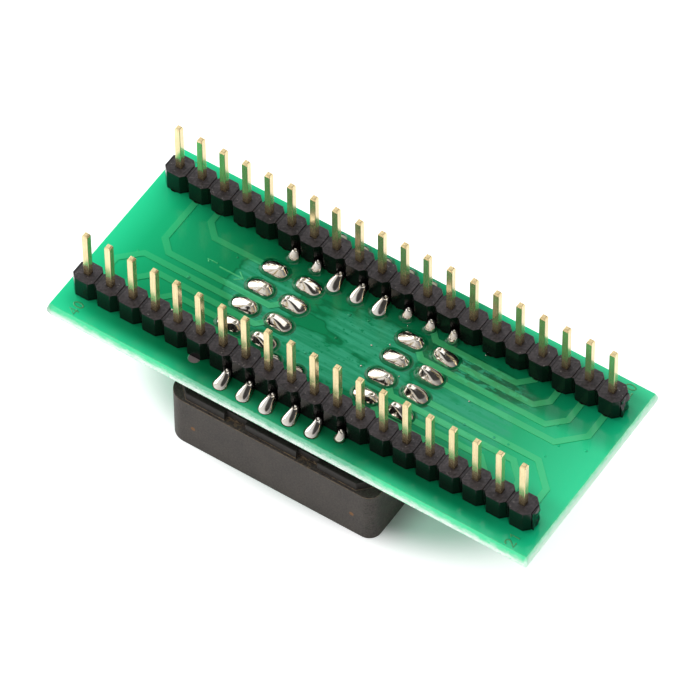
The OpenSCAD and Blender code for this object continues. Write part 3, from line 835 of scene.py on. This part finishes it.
joint = {
    "run": 1.22 * mm, "side": 0.82 * mm, "drop": 0.75 * mm, "stubRun": 0.3 * mm, "stub": 0.6 * mm,
    "neck": 0.26 * mm, "tailEnd": 0.42 * mm, "lift": 0.01 * mm, "tip": 1.0, "tallTip": 1.25, "tallStub": 1.2,
    # width beside the front and rear strips, and the spread of sizes
    "before": 0.92, "behind": 0.86, "runSpread": (0.97, 1.03), "wideSpread": (0.98, 1.03),
    "sideSpread": (0.95, 1.0), "tipSpread": (1.0, 1.04), "skew": 0.1 * mm,
    "segments": 40, "ripple": 0.012 * mm, "rippleScale": 1.1, "seed": 5,
    # flux drawn up round it: way out from the solder's edge, and height
    "pool": [(-0.05 * mm, 0.17 * mm), (0.03 * mm, 0.1 * mm), (0.09 * mm, 0.055 * mm),
             (0.17 * mm, 0.022 * mm), (0.28 * mm, 0.003 * mm)],
    # share of the way in from the pad's edge, and share of the height up to the knob
    "rise": [(0.0, 0.0), (0.02, 0.09), (0.06, 0.18), (0.13, 0.29), (0.24, 0.42), (0.38, 0.55), (0.53, 0.68),
             (0.68, 0.8), (0.83, 0.91), (0.93, 0.97), (1.0, 1.0)],
    # knob over the tail: its height, then radius and share of the way up it
    "knobHeight": 0.23 * mm,
    "knob": [(0.13 * mm, 0.04), (0.15 * mm, 0.3), (0.14 * mm, 0.58), (0.105 * mm, 0.82), (0.05 * mm, 0.97)],
}
ways = {"front": (0, -1), "rear": (0, 1), "left": (-1, 0), "right": (1, 0)}
holes = [-2.5, -1.5, -0.5, 0.5, 1.5, 2.5]  # along a side, in grid steps from the socket's middle
outerRing, innerRing = 3.5, 2.5


# each joint: its hole, the way its solder runs, whether it runs far, height of its tip in millimetres
def frontJoints(tip):
    outer = [(x, -outerRing, "front", x < holes[-1], tip) for x in holes]
    return outer + [(x, -innerRing, "rear", x in holes[1:3], tip) for x in holes[:-1]]


def rearJoints(tip):
    outer = [(x, outerRing, "rear", x < holes[-1], tip) for x in holes]
    return outer + [(x, innerRing, "front", x in holes[1:4], tip) for x in holes[1:]]


def sideRun(way, y):  # at the ends of a side it stays short and turns to the middle
    if abs(y) < holes[-1]:
        return way, True
    return ("front" if y > 0 else "rear"), False


def leftJoints(tip):
    outer = [(-outerRing, y, *sideRun("left", y), tip) for y in holes]
    return outer + [(-innerRing, y, *sideRun("right", y), tip) for y in holes[1:]]


def rightJoints(tip):
    tall = {True: joint["tallTip"], False: joint["tallStub"]}
    outer = [(outerRing, y, *sideRun("right", y), tall[sideRun("right", y)[1]]) for y in holes]
    return outer + [(innerRing, y, *sideRun("left", y), tip) for y in holes[:-1]]


def dropPoint(turn, run, small, large):
    far = math.cos(turn) > 0
    size = large if far else small
    return Vector(((run if far else 0) + size * math.cos(turn), size * math.sin(turn), 0))


def startRing(bm):
    verts = bmesh.ops.create_circle(bm, segments=joint["segments"], radius=1)["verts"]
    turnOf = bm.verts.layers.float["turn"]
    for step, vert in enumerate(verts):
        vert[turnOf] = (step + 0.5) * math.tau / joint["segments"]
    return verts, list({e for v in verts for e in v.link_edges})


def extrudeRing(bm, edges):
    grown = bmesh.ops.extrude_edge_only(bm, edges=edges)["geom"]
    return ([g for g in grown if isinstance(g, bmesh.types.BMVert)],
            [g for g in grown if isinstance(g, bmesh.types.BMEdge)])


def addSkin(bm, outline, height, skew):
    s = joint
    run, small, large = outline
    turnOf = bm.verts.layers.float["turn"]
    shoulder = height - s["knobHeight"]
    verts, edges = startRing(bm)
    made = list(verts)
    for index, (way, share) in enumerate(s["rise"]):
        if index:
            verts, edges = extrudeRing(bm, edges)
            made += verts
        keep = 1 - way
        collar = s["neck"] * way
        for vert in verts:
            vert.co = dropPoint(vert[turnOf], run * keep, small * keep + collar, large * keep + collar)
            vert.co += Vector((0, skew * math.sin(math.pi * keep), share * shoulder))
    for radius, share in s["knob"]:
        verts, edges = extrudeRing(bm, edges)
        made += verts
        for vert in verts:
            vert.co = dropPoint(vert[turnOf], 0, radius, radius)
            vert.co.z = shoulder + share * s["knobHeight"]
    bmesh.ops.contextual_create(bm, geom=edges)
    return made


def addPool(bm, outline):
    run, small, large = outline
    turnOf = bm.verts.layers.float["turn"]
    verts, edges = startRing(bm)
    made = []
    for index, (out, level) in enumerate(joint["pool"]):
        if index:
            verts, edges = extrudeRing(bm, edges)
        made += verts
        for vert in verts:
            vert.co = dropPoint(vert[turnOf], run, small + out, large + out) + Vector((0, 0, level))
    return made


def addJoint(bm, poolBm, spec, dice):
    x, y, way, far, tip = spec
    s = joint
    dx, dy = ways[way]
    run = s["run"] * dice.uniform(*s["runSpread"]) if far else s["stubRun"]
    large = (s["side"] if dy == 0 else s["drop"] if far else s["stub"]) * dice.uniform(*s["wideSpread"])
    large *= {outerRing: s["behind"], -outerRing: s["before"]}.get(y, 1)
    small = s["side"] * dice.uniform(*s["sideSpread"]) if dy == 0 else s["tailEnd"]
    height = tip * mm * dice.uniform(*s["tipSpread"])
    skew = dice.uniform(-1, 1) * s["skew"]
    place = (Matrix.Translation((socketX + x * gridStep, y * gridStep, boardTop + s["lift"]))
             @ Matrix.Rotation(math.atan2(dy, dx), 4, "Z"))
    outline = (run, small, large)
    bmesh.ops.transform(bm, matrix=place, verts=addSkin(bm, outline, height, skew))
    if y != -outerRing:  # no flux in front of the front strip
        bmesh.ops.transform(poolBm, matrix=place, verts=addPool(poolBm, outline))


def makeSolderRow(side, specs, dice):
    bm = bmesh.new()
    poolBm = bmesh.new()
    for each in (bm, poolBm):
        each.verts.layers.float.new("turn")
    for spec in specs:
        addJoint(bm, poolBm, spec, dice)
    bmesh.ops.recalc_face_normals(bm, faces=bm.faces)
    bm.normal_update()
    for vert in bm.verts:
        vert.co += vert.normal * joint["ripple"] * noise.noise(vert.co / mm * joint["rippleScale"])
    piece = newPiece(side + "Solder", bm, finishes["solder"], slot="solder", smooth=80)
    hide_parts(side + "_socket_solder")
    bmesh.ops.recalc_face_normals(poolBm, faces=poolBm.faces)
    newPiece(side + "FluxPoolAndShade", poolBm, finishes["pool"], slot="board_mask", smooth=60)


solderDice = random.Random(joint["seed"])
for side, row in zip(sides, (frontJoints, rearJoints, leftJoints, rightJoints)):
    makeSolderRow(side, row(joint["tip"]), solderDice)
print("solder made")


# stray beads of solder and bubbles in the flux: place from the pin rows' middle and radius, in millimetres
beads = {
    "board": [(1.66, 1.31, 0.1), (3.05, 2.32, 0.09), (2.16, -1.21, 0.1), (5.77, -0.29, 0.07),
              (3.21, 5.07, 0.06), (11.19, 6.2, 0.08), (12.8, 0.85, 0.1)],
    "strip": [(-15.06, -7.0, 0.1)],
    "raised": 0.7,
    "bubbles": [(16.95, -1.36, 0.17), (18.47, -1.31, 0.16), (22.41, 1.13, 0.12), (24.82, 2.02, 0.15),
                (13.84, -1.57, 0.14), (21.08, 3.01, 0.1), (22.03, -0.56, 0.1), (-17.1, -1.39, 0.2),
                (-22.9, -1.35, 0.1), (-3.03, -2.75, 0.13), (-1.61, 0.25, 0.14), (-2.05, 3.2, 0.2),
                (-0.21, 3.63, 0.15), (-14.6, 3.1, 0.12), (7.7, -3.6, 0.14)],
    "flat": 0.55,
}


def makeBeads():
    bm = bmesh.new()
    for base, spots in ((boardTop, beads["board"]), (stripTop, beads["strip"])):
        for x, y, radius in spots:
            place = Matrix.Translation((rowX + x * mm, y * mm, base + radius * beads["raised"] * mm))
            bmesh.ops.create_icosphere(bm, subdivisions=2, radius=radius * mm, matrix=place)
    newPiece("solderBeads", bm, finishes["solder"], slot="solder", smooth=60)


def makeBubbles():
    bm = bmesh.new()
    flatten = Matrix.Diagonal((1, 1, beads["flat"], 1))
    for x, y, radius in beads["bubbles"]:
        place = Matrix.Translation((rowX + x * mm, y * mm, boardTop)) @ flatten
        bmesh.ops.create_icosphere(bm, subdivisions=3, radius=radius * mm, matrix=place)
    newPiece("fluxBubbles", bm, finishes["boardMask"], slot="board_mask", smooth=60)


makeBeads()
makeBubbles()
print("beads made")


# signs drawn in the copper, turned a quarter to the left: pin numbers, and an arrow to pin one

def ovalPath(middle, half, count):
    turns = [i * math.tau / count for i in range(count + 1)]
    return [(middle[0] + half[0] * math.sin(t), middle[1] + half[1] * math.cos(t)) for t in turns]


signs = {
    "stroke": 0.085 * mm, "flat": 0.5, "pitch": 0.85,
    "glyphs": {
        "0": [ovalPath((0.3, 0.5), (0.27, 0.5), 16)],
        "1": [[(0.06, 0.74), (0.3, 1.0), (0.3, 0.0)]],
        "2": [[(0.02, 0.76), (0.1, 0.93), (0.3, 1.0), (0.5, 0.93), (0.58, 0.75), (0.5, 0.52), (0.02, 0.0),
               (0.6, 0.0)]],
        "4": [[(0.45, 0.0), (0.45, 1.0), (0.0, 0.3), (0.62, 0.3)]],
        "arrow": [[(0.0, 2.7), (0.0, 0.0)], [(-0.55, 0.75), (0.0, 0.0), (0.55, 0.75)]],
    },
    # words, place of their first corner from the pin rows' middle, height in millimetres
    "words": [(["1"], (-15.75, 1.15), 1.1), (["arrow"], (-12.7, 1.27), 1.0),
              (["4", "0"], (-23.4, -10.85), 1.0), (["2", "1"], (25.1, -10.85), 1.0),
              (["2", "0"], (24.9, 9.35), 1.0), (["1"], (-23.5, 10.1), 1.0)],
}


def strokeMesh(paths):
    curve = bpy.data.curves.new("stroke", "CURVE")
    curve.dimensions = "3D"
    curve.bevel_depth = signs["stroke"] / mm
    curve.bevel_resolution = 2
    curve.use_fill_caps = True
    for path in paths:
        spline = curve.splines.new("POLY")
        spline.points.add(len(path) - 1)
        for point, (x, y) in zip(spline.points, path):
            point.co = (x, y, 0, 1)
    maker = bpy.data.objects.new("stroke", curve)
    mesh = bpy.data.meshes.new_from_object(maker)
    bpy.data.objects.remove(maker)
    bpy.data.curves.remove(curve)
    return mesh


def makeSigns():
    s = signs
    bm = bmesh.new()
    quarter = Matrix.Rotation(math.pi / 2, 4, "Z")
    flatten = Matrix.Diagonal((mm, mm, mm * s["flat"], 1))
    for word, (x, y), height in s["words"]:
        place = Matrix.Translation((rowX + x * mm, y * mm, boardTop)) @ quarter @ flatten
        for index, letter in enumerate(word):
            mesh = strokeMesh([[(a * height + index * s["pitch"] * height, b * height) for a, b in path]
                               for path in s["glyphs"][letter]])
            before = len(bm.verts)
            bm.from_mesh(mesh)
            bpy.data.meshes.remove(mesh)
            bm.verts.ensure_lookup_table()
            bmesh.ops.transform(bm, matrix=place, verts=bm.verts[before:])
    newPiece("copperSigns", bm, finishes["signMask"], slot="track_mask", smooth=60)


makeSigns()
print("signs made")

dress(["socket_side_tracks"], finishes["trackMask"])
dress(["pin_side_pads", "socket_side_pads"], finishes["pad"])
dress([side + "_contacts" for side in sides], finishes["contact"])
dress(["front_header_solder", "rear_header_solder"], finishes["solder"])


# pale floor, with its own shadow and a painted green shadow under the board, darkest right of the socket

ground = {"half": 4.0, "colour": (0.86, 0.86, 0.87), "roughness": 0.9, "lift": 0.8,
          "shadow": (0.2, -4, 25, 9.5), "shadowFade": (0.64, 1.0, 1.0, 0.0),
          "paintedShadowTint": (0.12, 0.26, 0.19), "darkShadowReach": 3.5}


def makeFloor():
    s = ground
    bm = bmesh.new()
    bmesh.ops.create_grid(bm, x_segments=1, y_segments=1, size=s["half"])
    mesh = bpy.data.meshes.new("floor")
    bm.to_mesh(mesh)
    bm.free()
    floor = bpy.data.objects.new("floor", mesh)
    scene.collection.objects.link(floor)
    material, tree, shader = newMaterial("paleFloor")
    paths = put(tree, "ShaderNodeLightPath").outputs
    seen = calc(tree, "MAXIMUM", paths["Is Camera Ray"],
                calc(tree, "MAXIMUM", paths["Is Glossy Ray"], paths["Is Transmission Ray"]))
    place = objectMm(tree)
    # painted shadow: a green tint under the board, darkest beside the socket's right wall
    near = ramp(tree, patchLevel(tree, place, s["shadow"]), *s["shadowFade"])
    along = axesOf(tree, place)["X"]
    dark = ramp(tree, along, socketHigh.x / mm, socketHigh.x / mm + s["darkShadowReach"], 1.0, 0.0)
    dark = times(tree, dark, ramp(tree, along, socketX / mm, socketHigh.x / mm))
    paintedShadowTint = mixColour(tree, dark, s["paintedShadowTint"], (0, 0, 0))
    feed(tree, shader, Base_Color=(*s["colour"], 1), Roughness=s["roughness"], Specular_IOR_Level=0.0,
         Emission_Color=mixColour(tree, near, (1, 1, 1), paintedShadowTint),
         Emission_Strength=times(tree, seen, s["lift"]))
    # seen through from below
    under = put(tree, "ShaderNodeNewGeometry").outputs["Backfacing"]
    clear = put(tree, "ShaderNodeBsdfTransparent").outputs[0]
    either = put(tree, "ShaderNodeMixShader", {0: under, 1: shader.outputs[0], 2: clear}).outputs[0]
    tree.links.new(either, tree.nodes["Material Output"].inputs["Surface"])
    mesh.materials.append(material)


# bright walls, most in front and on the left, under a dark ceiling
studio = {
    "ceiling": 0.05, "wall": 0.52, "wallByX": -0.36, "wallByY": -0.36,
    # where a wall gives way to the ceiling: lower to the right and the rear, higher again at the far right
    "fade": (0.68, 0.81), "leanByX": 0.45, "mostX": 0.25, "leanByY": 0.35, "mostY": 0.46,
    "farRight": 0.4, "farRightRise": 0.9,
}


def makeWorld():
    s = studio
    world = bpy.data.worlds.new("studio")
    scene.world = world
    world.use_nodes = True
    tree = world.node_tree
    axes = axesOf(tree, put(tree, "ShaderNodeTexCoord").outputs["Generated"])
    wall = plus(tree, plus(tree, times(tree, axes["X"], s["wallByX"]), s["wall"]),
                times(tree, calc(tree, "MINIMUM", axes["Y"], 0.0), s["wallByY"]))
    wall = calc(tree, "MAXIMUM", wall, s["ceiling"])
    lean = plus(tree, times(tree, calc(tree, "MINIMUM", axes["X"], s["mostX"]), s["leanByX"]),
                times(tree, calc(tree, "MINIMUM", axes["Y"], s["mostY"]), s["leanByY"]))
    past = calc(tree, "MAXIMUM", minus(tree, axes["X"], s["farRight"]), 0.0)
    lean = minus(tree, lean, times(tree, past, s["farRightRise"]))
    glow = ramp(tree, plus(tree, axes["Z"], lean), *s["fade"], wall, s["ceiling"])
    shade = tree.nodes["Background"]
    shade.inputs["Color"].default_value = (1, 1, 1, 1)
    seen = put(tree, "ShaderNodeLightPath").outputs["Is Camera Ray"]
    tree.links.new(calc(tree, "MAXIMUM", glow, seen), shade.inputs["Strength"])


# the panel on the left is turned to the board, the one overhead faces straight down
lamps = {
    "leftPanel": {"place": (-0.42, 0.12, 0.24), "size": (0.5, 0.36), "power": 1.2, "aimed": True},
    "overPanel": {"place": (0.0025, 0.37, 0.55), "size": (0.395, 0.62), "power": 1.15, "aimed": False},
}


def makeLamps():
    for name, s in lamps.items():
        light = bpy.data.lights.new(name, "AREA")
        light.shape = "RECTANGLE"
        light.size, light.size_y = s["size"]
        light.energy = s["power"]
        lamp = bpy.data.objects.new(name, light)
        lamp.location = s["place"]
        if s["aimed"]:
            aim = Vector((0, 0, boardTop)) - lamp.location
            lamp.rotation_euler = aim.to_track_quat("-Z", "Y").to_euler()
        scene.collection.objects.link(lamp)


# focal length and centre are in pixels of the frame, angles in degrees
photoView = {"azimuth": 33.87, "elevation": 53.07, "roll": -0.505, "distance": 658.6 * mm,
             "focal": 7073.8, "centre": (-1.11, -2.53), "frame": 700, "sensor": 36, "clip": (0.05, 20)}


def makeCamera():
    s = photoView
    az, el, roll = (math.radians(s[k]) for k in ("azimuth", "elevation", "roll"))
    back = Vector((math.sin(az) * math.cos(el), -math.cos(az) * math.cos(el), math.sin(el)))
    right = Vector((math.cos(az), math.sin(az), 0))
    up = back.cross(right)
    across = right * math.cos(roll) + up * math.sin(roll)
    upright = up * math.cos(roll) - right * math.sin(roll)
    camera = bpy.data.objects.new("photoCamera", bpy.data.cameras.new("photoCamera"))
    camera.data.sensor_width = s["sensor"]
    camera.data.lens = s["focal"] * s["sensor"] / s["frame"]
    camera.data.clip_start, camera.data.clip_end = s["clip"]
    step = s["distance"] / s["focal"]
    place = Vector((rowX, 0, boardTop)) + back * s["distance"]
    place += upright * s["centre"][1] * step - across * s["centre"][0] * step
    camera.matrix_world = Matrix.Translation(place) @ Matrix((across, upright, back)).transposed().to_4x4()
    scene.collection.objects.link(camera)
    scene.camera = camera


makeFloor()
makeWorld()
makeLamps()
makeCamera()
scene.view_settings.view_transform = "Standard"
print("stage set")
